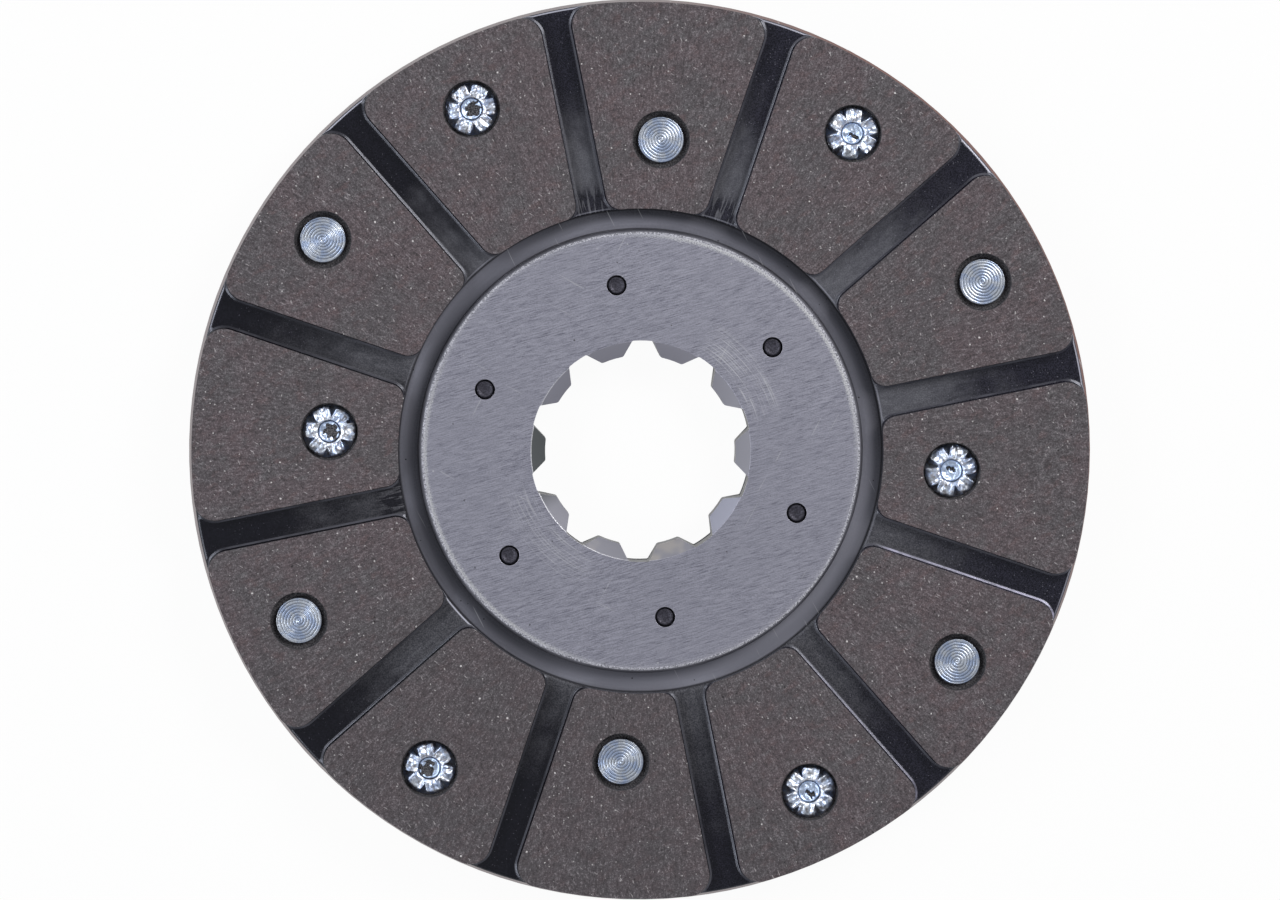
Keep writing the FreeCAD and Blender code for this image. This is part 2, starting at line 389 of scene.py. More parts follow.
def ground_lining():
    """Ground face of the moulded lining: brown grey with pale fibre ends and fine streaks."""
    make = Maker("Ground friction lining", Roughness=0.75, Specular_IOR_Level=0.25)
    broad = make.noise(0.10, 3.0)
    mottle = make.noise(0.75, 3.0, rough=0.6)
    grain = make.noise(3.6, 3.0, rough=0.75)
    streak = make.noise(1.0, 3.0, vector=make.around(0.8, 170), rough=0.6)
    drag = make.noise(1.0, 2.0, vector=make.around(0.25, 62), rough=0.6)
    tone = make.plus(make.times(grain, 0.7), make.times(streak, 0.3))
    tone = make.plus(tone, make.times(make.plus(mottle, drag), 0.12))
    colour = make.mix(make.band(broad, 0.38, 0.62), (0.092, 0.083, 0.090), (0.106, 0.084, 0.092))
    slanted = make.mapped(make.place, scale=(1, 1.7, 1), turn=30)
    cloud = make.noise(0.32, 3.0, vector=slanted, rough=0.6)
    colour = make.mix(make.band(cloud, 0.52, 0.70, 0.0, 0.7), colour, (0.116, 0.080, 0.084))
    colour = make.mix(make.band(cloud, 0.46, 0.30, 0.0, 0.5), colour, (0.118, 0.116, 0.122))
    colour = make.mix(make.times(make.facing(250, 50), 0.5), colour, (0.074, 0.066, 0.072))
    colour = make.mix(make.band(tone, 0.48, 0.66), (0.042, 0.036, 0.039), colour)
    colour = make.mix(make.band(tone, 0.64, 0.80, 0.0, 0.8), colour, (0.27, 0.245, 0.26))
    fibres = make.specks(1.0, 0.17, 0.6, make.frayed(scale=(1.6, 0.34, 1), turn=24))
    hairs = make.specks(1.1, 0.17, 0.6, make.frayed(scale=(0.30, 1.7, 1), turn=-31))
    dots = make.specks(1.15, 0.19, 0.5, make.frayed(move=(7, 3, 1)))
    chips = make.specks(0.58, 0.13, 0.5, make.frayed())
    colour = make.mix(make.times(fibres, 0.6), colour, (0.46, 0.43, 0.435))
    colour = make.mix(make.times(hairs, 0.6), colour, (0.46, 0.43, 0.44))
    colour = make.mix(make.times(dots, 0.75), colour, (0.50, 0.48, 0.48))
    colour = make.mix(make.times(chips, 0.9), colour, (0.66, 0.63, 0.63))
    pits = make.specks(0.8, 0.17, 0.5, make.frayed(move=(31, 17, 5)))
    colour = make.mix(make.times(pits, 0.75), colour, (0.018, 0.016, 0.017))
    make.colour(colour)
    make.bump(make.math("SUBTRACT", make.plus(grain, streak), pits), 0.05)
    return make.material


def moulded_skin():
    """Moulded skin of the lining's grooves: glossy black at the rim, towards the hub rougher and
    painted grey as a reflection, with painted highlights on the web's ends and along two grooves.
    """
    make = Maker(
        "Moulded lining skin", Specular_IOR_Level=0.5, Specular_Tint=(0.86, 0.88, 1.0, 1.0))
    reach = make.radius()
    height = make.height()
    wander = make.noise(0.09, 3.0, rough=0.6)
    # Towards the hub the floor is made rougher and painted grey as a reflection; the grooves at
    # 131° and 251° stay blacker
    blacker = make.plus(make.times(make.facing(131, 15), 6), make.times(make.facing(251, 15), 10))
    painted_tone = make.falling(make.plus(reach, blacker, make.times(wander, 40)), 66, 92)
    strokes = make.noise(1.0, 3.0, vector=make.around(0.30, 55), rough=0.65)
    brush = make.noise(1.0, 2.0, vector=make.around(0.18, 75), rough=0.6)
    brush = make.times(
        make.band(brush, 0.41, 0.50), make.falling(reach, 46.5, 51.0),
        make.math("MAXIMUM", make.facing(86, 36), make.facing(191, 35)))
    painted_tone = make.times(
        painted_tone, make.band(strokes, 0.35, 0.62, 0.72, 1.0), make.band(brush, 0, 1, 1.0, 0.08),
        make.band(height, WEB_TOP + 0.01, WEB_TOP + 0.12, 1.0, 0.2))
    grain = make.noise(4.2, 3.0, rough=0.7)
    fine = make.band(grain, 0.36, 0.66)
    black = make.mix(fine, (0.0013, 0.0012, 0.0034), (0.0250, 0.0240, 0.0370))
    shaded = make.times(make.facing(200, 115), 0.7)
    black = make.mix(shaded, black, (0.0012, 0.0011, 0.0018))
    grey = make.mix(fine, (0.018, 0.018, 0.022), (0.092, 0.090, 0.100))
    # Painted light: the grey is lighter on the side facing 75°
    grey = make.mix(make.times(make.facing(75, 110), 0.4), grey, (0.14, 0.14, 0.16))
    colour = make.mix(painted_tone, black, grey)
    dust = make.plus(
        make.specks(2.3, 0.24, 0.6, make.frayed()),
        make.specks(1.1, 0.12, 0.4, make.frayed(move=(5, 9, 0))))
    # The specks show more strongly towards the side at 20°
    dust_share_by_side = make.plus(make.times(make.facing(20, 100), 0.4), 0.3)
    colour = make.mix(make.times(dust, dust_share_by_side), colour, (0.17, 0.165, 0.20))
    foot = make.between(height, WEB_TOP + 0.03, WEB_TOP + 0.08, WEB_TOP + 0.15, WEB_TOP + 0.20)
    patchy = make.band(wander, 0.35, 0.6, 0.2, 0.8)
    colour = make.mix(make.times(foot, patchy), colour, (0.10, 0.10, 0.12))
    # Painted sheen: a pale lavender line along the foot of the grooves at 338.3° and 308.3°
    painted_sheen = make.plus(make.facing(338.3, 3.0), make.times(make.facing(308.3, 3.0), 0.45))
    painted_sheen = make.times(
        foot, painted_sheen, make.band(strokes, 0.40, 0.55, 0.45, 1.0), make.band(reach, 46.5, 50.0))
    colour = make.mix(painted_sheen, colour, (0.42, 0.40, 0.54))
    # Painted highlight on the web's sloped ends, on the sides facing 70° at the rim and 221° at the
    # hub
    lip_highlight = make.between(height, WEB_TOP - 0.14, WEB_TOP - 0.10, WEB_TOP - 0.05, WEB_TOP - 0.02)
    outer = make.times(make.facing(70, 125), make.band(reach, 48, 52, 0.25, 0.9))
    inner = make.times(make.facing(221, 14), make.band(reach, 48, 52, 0.9, 0.0))
    colour = make.mix(make.times(lip_highlight, make.plus(outer, inner)), colour, (0.44, 0.44, 0.52))
    make.colour(colour)
    make.roughness(make.band(painted_tone, 0, 1, 0.19, 0.55))
    make.bump(make.plus(make.noise(0.9, 2.0), make.times(grain, 0.35)), 0.016)
    return make.material


def drilled_wall():
    """Drilled wall and seat of a rivet hole in the lining."""
    make = Maker("Drilled lining", Roughness=0.8, Specular_IOR_Level=0.2)
    grain = make.noise(3.4, 3.0)
    colour = make.mix(make.band(grain, 0.35, 0.75), (0.036, 0.034, 0.038), (0.140, 0.134, 0.143))
    make.colour(colour)
    make.bump(grain, 0.08)
    return make.material


def ground_steel():
    """Hub: straight grinding lines, scratches and pits on its face, turned walls at the bore, with
    painted highlights at the rim, the rubs and the bore's lip and painted reflections on the bore's
    walls.
    """
    make = Maker("Ground hub steel", Metallic=1.0)
    reach = make.radius()
    flat = make.band(make.height(), HUB_FACE - 0.06, HUB_FACE - 0.01)

    long_lines = make.mapped(make.place, (0.36, 6.0, 1), turn=17)
    lines = make.noise(1.0, 4.0, vector=long_lines, rough=0.8)
    short_lines = make.mapped(make.place, (0.50, 7.0, 1), turn=15)
    dashes = make.noise(1.0, 2.0, vector=short_lines, rough=0.6)
    grain = make.noise(3.4, 3.0, rough=0.8)
    cloud = make.noise(0.07, 3.0)
    tone = make.plus(
        make.times(lines, 0.45), make.times(dashes, 0.25), make.times(grain, 0.3))
    colour = make.mix(make.band(tone, 0.39, 0.61), (0.25, 0.25, 0.315), (0.635, 0.63, 0.735))
    colour = make.mix(make.band(cloud, 0.35, 0.7, 0.0, 0.3), colour, (0.43, 0.43, 0.51))
    colour = make.mix(make.band(dashes, 0.39, 0.30, 0.0, 0.7), colour, (0.13, 0.13, 0.17))

    # Painted highlight on the rim's edge on the sides facing 46° and 205°; the chips near the rim
    # show only there, as painted glints
    lit = make.math("MAXIMUM", make.facing(46, 52), make.times(make.facing(205, 60), 0.7))
    edge = make.band(make.plus(reach, make.times(grain, 1.6)), 39.6, 40.3)
    edge = make.times(
        edge, make.plus(make.times(lit, 0.8), 0.12), make.band(grain, 0.38, 0.58, 0.4, 1.0))
    colour = make.mix(edge, colour, (0.99, 0.99, 1.0))
    chips_and_glints = make.specks(1.7, 0.28, 0.7, make.frayed(move=(9, 1, 0)))
    chips_and_glints = make.times(chips_and_glints, make.band(reach, 37.9, 39.4), lit, 0.8)
    colour = make.mix(chips_and_glints, colour, (0.92, 0.92, 0.95))
    nicks = make.specks(0.9, 0.15, 0.4, make.frayed())
    nicks = make.times(nicks, make.band(reach, 35.0, 39.5), 0.8)
    colour = make.mix(nicks, colour, (0.95, 0.95, 0.97))

    # Rub marks round the bore, painted bright only on the sides facing 38° and 222° as a highlight
    rubs_and_glints = make.noise(1.0, 3.0, vector=make.around(6.0, 1.6), rough=0.7)
    near_bore = make.between(reach, 20.6, 21.6, 25.5, 28.0)
    glinting_sides = make.math("MAXIMUM", make.facing(38, 26), make.times(make.facing(222, 30), 0.6))
    rubs_and_glints = make.times(make.band(rubs_and_glints, 0.52, 0.62), near_bore, glinting_sides, 0.75)
    colour = make.mix(rubs_and_glints, colour, (0.92, 0.92, 0.96))
    marks = make.math("MAXIMUM", make.scratches(62, 0.745), make.scratches(151, 0.755))
    colour = make.mix(make.times(marks, 0.35), colour, (0.85, 0.85, 0.88))
    pits = make.specks(0.5, 0.11, 0.35, make.frayed(move=(2, 5, 0)))
    colour = make.mix(make.times(pits, 0.85), colour, (0.045, 0.042, 0.045))

    # Painted reflections and shade on the bore's turned walls: lighter facing 324° and at 275°,
    # darker facing 182°
    turned = make.mix(make.facing(110, 90), (0.34, 0.34, 0.39), (0.30, 0.30, 0.355))
    turned = make.mix(make.facing(-36, 26), turned, (0.40, 0.41, 0.50))
    turned = make.mix(make.facing(182, 32), turned, (0.13, 0.14, 0.145))
    patches = make.noise(0.16, 2.0, vector=make.mapped(make.place, move=(3, 8, 0)))
    patches = make.times(make.band(patches, 0.5, 0.62), make.facing(275, 40))
    turned = make.mix(patches, turned, (0.46, 0.44, 0.44))
    cone_gap = make.math("SUBTRACT", reach, make.times(make.height(), LEAD_IN_SLOPE))
    splined = make.band(cone_gap, LEAD_IN_START + 0.05, LEAD_IN_START + 0.25)
    turned = make.mix(splined, turned, (0.045, 0.045, 0.05))

    colour = make.mix(flat, turned, colour)
    # Painted highlight along the bore's lip on the side facing 200°
    lip_highlight = make.between(reach, 19.96, 20.04, 20.12, 20.20)
    lip_highlight = make.times(lip_highlight, make.facing(200, 95), make.band(grain, 0.35, 0.6, 0.3, 0.9))
    colour = make.mix(lip_highlight, colour, (0.90, 0.90, 0.94))
    shoulder = make.band(reach, 39.60, 39.68)
    frosted = make.mix(make.band(grain, 0.38, 0.60), (0.16, 0.16, 0.185), (0.60, 0.60, 0.65))
    colour = make.mix(shoulder, colour, frosted)
    colour = make.mix(make.band(reach, 40.02, 40.16), colour, (0.17, 0.17, 0.20))
    make.colour(colour)

    ground = make.band(tone, 0.3, 0.7, 0.44, 0.34)
    shine = make.plus(make.times(ground, flat), make.band(flat, 0, 1, 0.42, 0.0))
    rougher = make.times(shoulder, make.band(reach, 40.02, 40.16, 0.40, 0.18))
    make.roughness(make.plus(shine, rougher))
    height = make.math("SUBTRACT", make.plus(tone, make.times(marks, 0.2)), make.times(pits, 0.6))
    make.bump(make.times(height, flat), 0.014)
    return make.material


def satin_steel():
    """Steel plate: dark satin in the ring between hub and lining with painted light and shade
    across it, paler at the rim.
    """
    make = Maker("Satin plate steel", Metallic=0.85)
    reach = make.radius()
    grain = make.noise(2.6, 3.0)
    around = make.noise(1.0, 3.0, vector=make.around(3.0, 5.0))
    tone = make.plus(make.times(grain, 0.5), make.times(around, 0.5))
    colour = make.mix(make.band(tone, 0.35, 0.65), (0.145, 0.146, 0.175), (0.215, 0.216, 0.25))
    # Painted light and shade across the ring: light at the hub and dark at the lining on the side
    # facing 35°, the other way round on the far side
    across = make.band(reach, 40.8, 44.2)
    side = make.facing(35, 130)
    painted_ring_light = make.plus(
        make.times(side, make.falling(across, 0, 1)), make.times(make.falling(side, 0, 1), across))
    ring = make.mix(painted_ring_light, (0.062, 0.062, 0.075), (0.30, 0.30, 0.355))
    ring = make.mix(make.band(tone, 0.35, 0.65, 0.0, 0.3), ring, (0.17, 0.17, 0.20))
    # Painted light towards 300°
    ring = make.mix(make.times(make.facing(300, 70), 0.4), ring, (0.36, 0.36, 0.42))
    # Painted shade on the sides facing 45° and 212°
    painted_tone = make.math("MAXIMUM", make.facing(45, 50), make.facing(212, 45))
    ring = make.mix(make.times(painted_tone, 0.22), ring, (0.04, 0.04, 0.05))
    within = make.falling(reach, 50.0, 51.0)
    colour = make.mix(within, colour, ring)
    colour = make.mix(make.falling(reach, 24.0, 25.0), colour, (0.04, 0.04, 0.045))
    # Painted shade in the corners at the hub's edge and the lining's inner edge
    corner = make.math("MAXIMUM", make.falling(reach, 40.65, 40.85), make.band(reach, 43.9, 44.2))
    colour = make.mix(make.times(corner, within, 0.8), colour, (0.03, 0.03, 0.034))
    rim = make.mix(make.facing(30, 65), (0.33, 0.30, 0.305), (0.22, 0.135, 0.125))
    colour = make.mix(make.band(reach, 81.6, 82.0), colour, rim)
    pits = make.specks(0.7, 0.14, 0.4)
    colour = make.mix(make.times(pits, 0.9), colour, (0.02, 0.02, 0.022))
    marks = make.scratches(117, 0.735)
    colour = make.mix(make.times(marks, 0.4), colour, (0.55, 0.55, 0.58))
    make.colour(colour)
    make.roughness(make.band(tone, 0.3, 0.7, 0.46, 0.38))
    make.bump(make.math("SUBTRACT", tone, pits), 0.015)
    return make.material


def blackened_steel():
    """Sunk ends of the hub pins."""
    make = Maker("Blackened pin steel", Metallic=0.6)
    grain = make.noise(4.0, 3.0)
    colour = make.mix(make.band(grain, 0.35, 0.7), (0.022, 0.021, 0.030), (0.070, 0.067, 0.090))
    make.colour(colour)
    make.roughness(make.band(grain, 0.3, 0.7, 0.6, 0.44))
    make.bump(grain, 0.03)
    return make.material


def plated_zinc(name, smooth, dull, stain):
    """Bluish clouded zinc plating, with grime in the turned rings, painted shade in the folds and
    the tube's mouth, and dust in the hollow.
    """
    make = Maker(name, Metallic=1.0)
    cloud = make.noise(0.8, 3.0)
    fine = make.noise(7.0, 2.0)
    colour = make.mix(make.band(cloud, 0.35, 0.65), (0.56, 0.67, 0.92), (0.83, 0.88, 0.97))
    colour = make.mix(make.band(fine, 0.6, 0.75, 0.0, 0.35), colour, (0.36, 0.40, 0.50))
    brown = make.noise(1.5, 2.0, vector=make.mapped(make.place, move=(11, 4, 6)))
    colour = make.mix(make.band(brown, 0.46, 0.66, 0.0, stain), colour, (0.36, 0.32, 0.315))
    hollow = make.node("ShaderNodeAttribute", attribute_name=HOLLOW).outputs["Fac"]
    colour = make.mix(make.times(hollow, 0.8), colour, (0.60, 0.73, 0.96))
    dirt_and_shade = make.node("ShaderNodeAttribute", attribute_name=DIRT_AND_SHADE).outputs["Fac"]
    # Grime in the turned rings, painted shade in the folds' creases and at the tube's mouth
    colour = make.mix(make.times(dirt_and_shade, 0.68), colour, (0.06, 0.075, 0.105))
    dust = make.node("ShaderNodeAttribute", attribute_name=DUST).outputs["Fac"]
    grain = make.noise(4.5, 3.0, rough=0.65)
    soot = make.mix(make.band(grain, 0.40, 0.62), (0.030, 0.030, 0.034), (0.20, 0.195, 0.205))
    dust = make.band(make.plus(dust, make.times(grain, 0.3)), 0.55, 0.72)
    colour = make.mix(dust, colour, soot)
    make.colour(colour)
    shine = make.band(fine, 0.3, 0.7, smooth, dull)
    make.roughness(make.plus(shine, make.times(dust, 0.4)))
    make.bump(make.plus(make.times(fine, 0.3), cloud), 0.008)
    return make.material


# Moulded linings

# Order of the lining's materials: ground pads, moulded skin, drilled holes
GROUND, SKIN, DRILLED = range(3)


def corner_centres():
    """Centres of a pad's rounded corners, along and across the groove beside it."""
    half = GROOVE_WIDTH / 2
    outer_across = half + PAD_OUTER_CORNER
    inner_across = half + PAD_INNER_CORNER
    outer_along = math.sqrt((LINING_OUTER_RADIUS - PAD_OUTER_CORNER) ** 2 - outer_across ** 2)
    inner_along = math.sqrt((LINING_INNER_RADIUS + PAD_INNER_CORNER) ** 2 - inner_across ** 2)
    return Vector((inner_along, inner_across)), Vector((outer_along, outer_across))


def pad_side(inset):
    """Points of a pad's side from the inner to the outer rim, along and across the groove."""
    inner, outer = corner_centres()
    points = []
    start = math.atan2(-inner.y, -inner.x)
    for step in range(CORNER_STEPS + 1):
        turn = start + (-math.pi / 2 - start) * (step / CORNER_STEPS) ** CORNER_CROWDING
        reach = PAD_INNER_CORNER - inset
        points.append(inner + reach * Vector((math.cos(turn), math.sin(turn))))
    for step in range(1, SIDE_STEPS):
        share = step / SIDE_STEPS
        along = inner.x + (outer.x - inner.x) * share
        points.append(Vector((along, GROOVE_WIDTH / 2 + inset)))
    end = math.atan2(outer.y, outer.x)
    for step in range(CORNER_STEPS + 1):
        turn = end + (-math.pi / 2 - end) * (1 - step / CORNER_STEPS) ** CORNER_CROWDING
        reach = PAD_OUTER_CORNER - inset
        points.append(outer + reach * Vector((math.cos(turn), math.sin(turn))))
    return points


def pad_outline(index, inset):
    """Outline of one pad, drawn in from its full size by the inset."""
    side = pad_side(inset)
    middle = pad_angle(index)
    before = Matrix.Rotation(math.radians(middle - GROOVE_PITCH / 2), 2)
    after = Matrix.Rotation(math.radians(middle + GROOVE_PITCH / 2), 2)
    outline = [before @ point for point in side]
    far = after @ Vector((side[-1].x, -side[-1].y))
    outline += arc_between(outline[-1], far, OUTER_ARC_STEPS)
    outline += [after @ Vector((point.x, -point.y)) for point in reversed(side)]
    outline += arc_between(outline[-1], outline[0], INNER_ARC_STEPS)
    return outline


def arc_between(first, last, steps):
    """Points between two others on the circle about the axis."""
    start = math.atan2(first.y, first.x)
    sweep = (math.atan2(last.y, last.x) - start + math.pi) % (2 * math.pi) - math.pi
    radius = first.length
    angles = [start + sweep * step / steps for step in range(1, steps)]
    return [Vector((radius * math.cos(angle), radius * math.sin(angle))) for angle in angles]


def edge_drop(depth, size):
    """How far a rounded edge falls at this distance in from it."""
    if depth >= size:
        return 0.0
    if depth < EDGE_REACH:
        return size
    return size - math.sqrt(size ** 2 - (size - depth) ** 2)


def wall_distance(along, across):
    """Distance from a point of the groove's floor to the pad's wall."""
    inner, outer = corner_centres()
    across = abs(across)
    if along > outer.x:
        return (Vector((along, across)) - outer).length - PAD_OUTER_CORNER
    if along < inner.x:
        return (Vector((along, across)) - inner).length - PAD_INNER_CORNER
    return GROOVE_WIDTH / 2 - across


def sloped(depth, start, width):
    """Height of a slope that begins at this distance from an edge and runs on towards the edge."""
    return SLOPE * max(0.0, min(width, start + width - depth))


def web_drop(radius):
    """How far the web falls towards its ends at the rim and at the hub."""
    drop = 0.0
    for depth in (LINING_OUTER_RADIUS - radius, radius - LINING_INNER_RADIUS):
        drop += edge_drop(depth, WEB_EDGE_ROUND) + sloped(depth, WEB_EDGE_ROUND, WEB_SLOPE_WIDTH)
    return drop


def web_height(along, across):
    """Height of the lining's web in a groove: flat floor, sloped foot, fillet and sloped ends."""
    depth = wall_distance(along, across)
    rise = edge_drop(depth, GROOVE_FILLET) + sloped(depth, GROOVE_FILLET, GROOVE_SLOPE_WIDTH)
    return WEB_TOP + rise - web_drop(math.hypot(along, across))


def add_groove(bm, angle):
    """Floor of one groove, its rows on circles about the axis."""
    side = pad_side(0.0)
    rows = len(side) - 1
    grid = bmesh.ops.create_grid(bm, x_segments=GROOVE_COLUMNS, y_segments=rows, size=0.5)
    turn = Matrix.Rotation(math.radians(angle), 3, "Z")
    for vert in grid["verts"]:
        point = side[round((vert.co.y + 0.5) * rows)]
        share = 2 * vert.co.x
        reach = math.copysign(1 - (1 - abs(share)) ** COLUMN_CROWDING, share)
        sweep = math.atan2(point.y, point.x) * reach
        along = point.length * math.cos(sweep)
        across = point.length * math.sin(sweep)
        vert.co = turn @ Vector((along, across, web_height(along, across)))


def pad_rim_height(point):
    """Height at which a pad's side meets the web."""
    return WEB_TOP + GROOVE_FILLET + SLOPE * GROOVE_SLOPE_WIDTH - web_drop(point.length)


def add_pad(bm, index):
    """One pad with its broken edges and its counterbored rivet hole."""
    outlines = []
    for inset, drop in PAD_EDGE:
        outlines.append([(p.x, p.y, LINING_FACE - drop) for p in pad_outline(index, inset)])
    outlines.append([(p.x, p.y, pad_rim_height(p)) for p in pad_outline(index, 0.0)])
    pad_edge, _ = swept(bm, outlines)

    place = rivet_place(index)
    profile = (
        (COUNTERBORE_RADIUS + 0.12, LINING_FACE, 1.0),
        (COUNTERBORE_RADIUS + 0.04, LINING_FACE - 0.06, 0.8),
        (COUNTERBORE_RADIUS, LINING_FACE - 0.2, 0.3),
        (COUNTERBORE_RADIUS, SEAT_HEIGHT + 0.12, 0.0),
        (COUNTERBORE_RADIUS - 0.12, SEAT_HEIGHT, 0.0),
        (SHANK_HOLE_RADIUS, SEAT_HEIGHT, 0.0),
        (SHANK_HOLE_RADIUS, PLATE_FACE, 0.0),
    )
    rings = []
    for radius, height, ragged in profile:
        ring = []
        for step in range(HOLE_STEPS):
            turn = 2 * math.pi * step / HOLE_STEPS
            way = Vector((math.cos(turn), math.sin(turn), 0))
            chip = noise.noise(way * 9 + Vector((0, 0, 7 * index))) + 0.6 * noise.noise(way * 23)
            point = place + (radius + ragged * HOLE_CHIPPING * chip) * way
            ring.append((point.x, point.y, height))
        rings.append(ring)
    hole_edge, _ = swept(bm, rings)
    fill_between(bm, pad_edge + hole_edge)


def rim_loop(bm, radius):
    """Open edges on the circle of this radius."""
    found = []
    for edge in bm.edges:
        if edge.is_boundary and all(abs(v.co.xy.length - radius) < 0.01 for v in edge.verts):
            found.append(edge)
    return found


def edge_angle(edge):
    """Direction in degrees of the middle of an edge, seen from the axis."""
    middle = (edge.verts[0].co + edge.verts[1].co) / 2
    return math.degrees(math.atan2(middle.y, middle.x))


def fill_underside(bm):
    """Flat underside of the lining, filled between spokes under the middle of each groove."""
    open_edges = [edge for edge in bm.edges if edge.is_boundary]
    rim = {vert for edge in open_edges for vert in edge.verts}
    spokes = []
    for index in range(GROOVE_COUNT):
        angle = GROOVE_FIRST_ANGLE + index * GROOVE_PITCH
        ends = []
        for radius in (LINING_INNER_RADIUS, LINING_OUTER_RADIUS):
            target = polar(radius, angle)
            ends.append(min(rim, key=lambda vert: (vert.co.xy - target.xy).length))
        spokes.append(bm.edges.new(ends))
    for index in range(GROOVE_COUNT):
        start = GROOVE_FIRST_ANGLE + index * GROOVE_PITCH
        sector = [edge for edge in open_edges if (edge_angle(edge) - start) % 360 < GROOVE_PITCH]
        sector += [spokes[index], spokes[(index + 1) % GROOVE_COUNT]]
        fill_between(bm, sector, normal=(0, 0, -1))


def moulded_lining(name, node, side, materials):
    """Lining ring with twelve pads, the grooves between them and the counterbored rivet holes."""
    bm = bmesh.new()
    for index in range(GROOVE_COUNT):
        add_pad(bm, index)
        add_groove(bm, GROOVE_FIRST_ANGLE + index * GROOVE_PITCH)
    bmesh.ops.remove_doubles(bm, verts=bm.verts, dist=WIDE_MERGE_REACH)
    for radius in (LINING_OUTER_RADIUS, LINING_INNER_RADIUS):
        skirt = bmesh.ops.extrude_edge_only(bm, edges=rim_loop(bm, radius))["geom"]
        for vert in of_kind(skirt, bmesh.types.BMVert):
            vert.co.z = PLATE_FACE
    fill_underside(bm)
    rivets = [rivet_place(index) for index in range(GROOVE_COUNT)]
    for face in bm.faces:
        middle = face.calc_center_median()
        if middle.z > LINING_FACE - 0.05:
            face.material_index = GROUND
        elif min((middle.xy - place.xy).length for place in rivets) < COUNTERBORE_RADIUS + 0.2:
            face.material_index = DRILLED
        else:
            face.material_index = SKIN
    bmesh.ops.scale(bm, vec=(1, 1, side), verts=bm.verts)
    return add_piece(name, bm, materials, [node])


# Hub plates and steel plate

def copied_solid(node):
    """The node's own mesh in millimetres, merged, with its flat faces whole."""
    bm = bmesh.new()
    bm.from_mesh(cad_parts[node].data)
    bmesh.ops.scale(bm, vec=(1 / MM, 1 / MM, 1 / MM), verts=bm.verts)
    bmesh.ops.remove_doubles(bm, verts=bm.verts, dist=WIDE_MERGE_REACH)
    bmesh.ops.dissolve_limit(bm, angle_limit=math.radians(1.0), verts=bm.verts, edges=bm.edges)
    return bm


def edges_on_circle(bm, radius, height):
    """Edges that follow the circle of this radius at this height."""
    found = []
    for edge in bm.edges:
        on_circle = all(abs(v.co.xy.length - radius) < 0.02 for v in edge.verts)
        if on_circle and all(abs(v.co.z - height) < 0.01 for v in edge.verts):
            found.append(edge)
    return found


def rounded(bm, edges, size, segments):
    """Round these edges."""
    bmesh.ops.bevel(
        bm, geom=edges, offset=size, offset_type="OFFSET", affect="EDGES",
        segments=segments, profile=0.5, material=-1, clamp_overlap=True)


def sharp_edges(bm, angle, low, high):
    """Edges between these heights where the faces meet at more than this angle."""
    found = []
    for edge in bm.edges:
        inside = all(low < v.co.z < high for v in edge.verts)
        if inside and len(edge.link_faces) == 2 and edge.calc_face_angle(0.0) > math.radians(angle):
            found.append(edge)
    return found


def hub_plate(name, node, side, material):
    """Hub side plate with its rounded rim and its broken edges at the bore and the pin holes."""
    bm = copied_solid("front_hub_plate")
    rim = edges_on_circle(bm, HUB_RADIUS, HUB_FACE - HUB_EDGE_BEVEL)
    rim += edges_on_circle(bm, HUB_RADIUS - HUB_EDGE_BEVEL, HUB_FACE)
    rounded(bm, rim, HUB_EDGE_ROUND, HUB_ROUND_SEGMENTS)
    sharp = sharp_edges(bm, HUB_BREAK_ANGLE, PLATE_FACE + 0.1, HUB_FACE + 0.1)
    rounded(bm, sharp, HUB_EDGE_BREAK, HUB_BREAK_SEGMENTS)
    bmesh.ops.scale(bm, vec=(1, 1, side), verts=bm.verts)
    return add_piece(name, bm, [material], [node])


# Pins and rivets

def spun(bm, profile, steps):
    """Skin spun about the upright axis from points given as radius and height."""
    verts = [bm.verts.new((radius, 0, height)) for radius, height in profile]
    edges = [bm.edges.new(pair) for pair in zip(verts, verts[1:])]
    bmesh.ops.spin(
        bm, geom=verts + edges, cent=(0, 0, 0), axis=(0, 0, 1), angle=2 * math.pi,
        steps=steps, use_merge=True, use_duplicate=False)
    bmesh.ops.remove_doubles(bm, verts=bm.verts, dist=MERGE_REACH)


def hub_pin(index, material):
    """Straight pin whose sunk ends are dished inside a rounded rim."""
    end = [(radius, PIN_END - depth) for radius, depth in PIN_DISH]
    bm = bmesh.new()
    spun(bm, end + [(radius, -height) for radius, height in reversed(end)], PIN_STEPS)
    turn = PIN_FIRST_ANGLE + index * 360 / PIN_COUNT
    bmesh.ops.translate(bm, vec=polar(PIN_CIRCLE_RADIUS, turn), verts=bm.verts)
    name = f"hub_pin_end_{index + 1}"
    return add_piece(name, bm, [material], [f"hub_pin_{index + 1}"])


def head_profile():
    """Head of a rivet from its middle outwards, face down, and its shank up to the seat."""
    face = -SEAT_HEIGHT - HEAD_THICKNESS
    flat = HEAD_RADIUS - HEAD_EDGE_ROUND
    count = round(flat / (TURNED_PITCH / 8))
    points = [(flat * step / count, face) for step in range(count + 1)]
    for turn in (30, 60, 90):
        lean = math.radians(turn)
        across = flat + HEAD_EDGE_ROUND * math.sin(lean)
        points.append((across, face + HEAD_EDGE_ROUND * (1 - math.cos(lean))))
    points.append((HEAD_RADIUS, -SEAT_HEIGHT))
    points += [(SHANK_RADIUS, -SEAT_HEIGHT), (SHANK_RADIUS, SEAT_HEIGHT)]
    return points


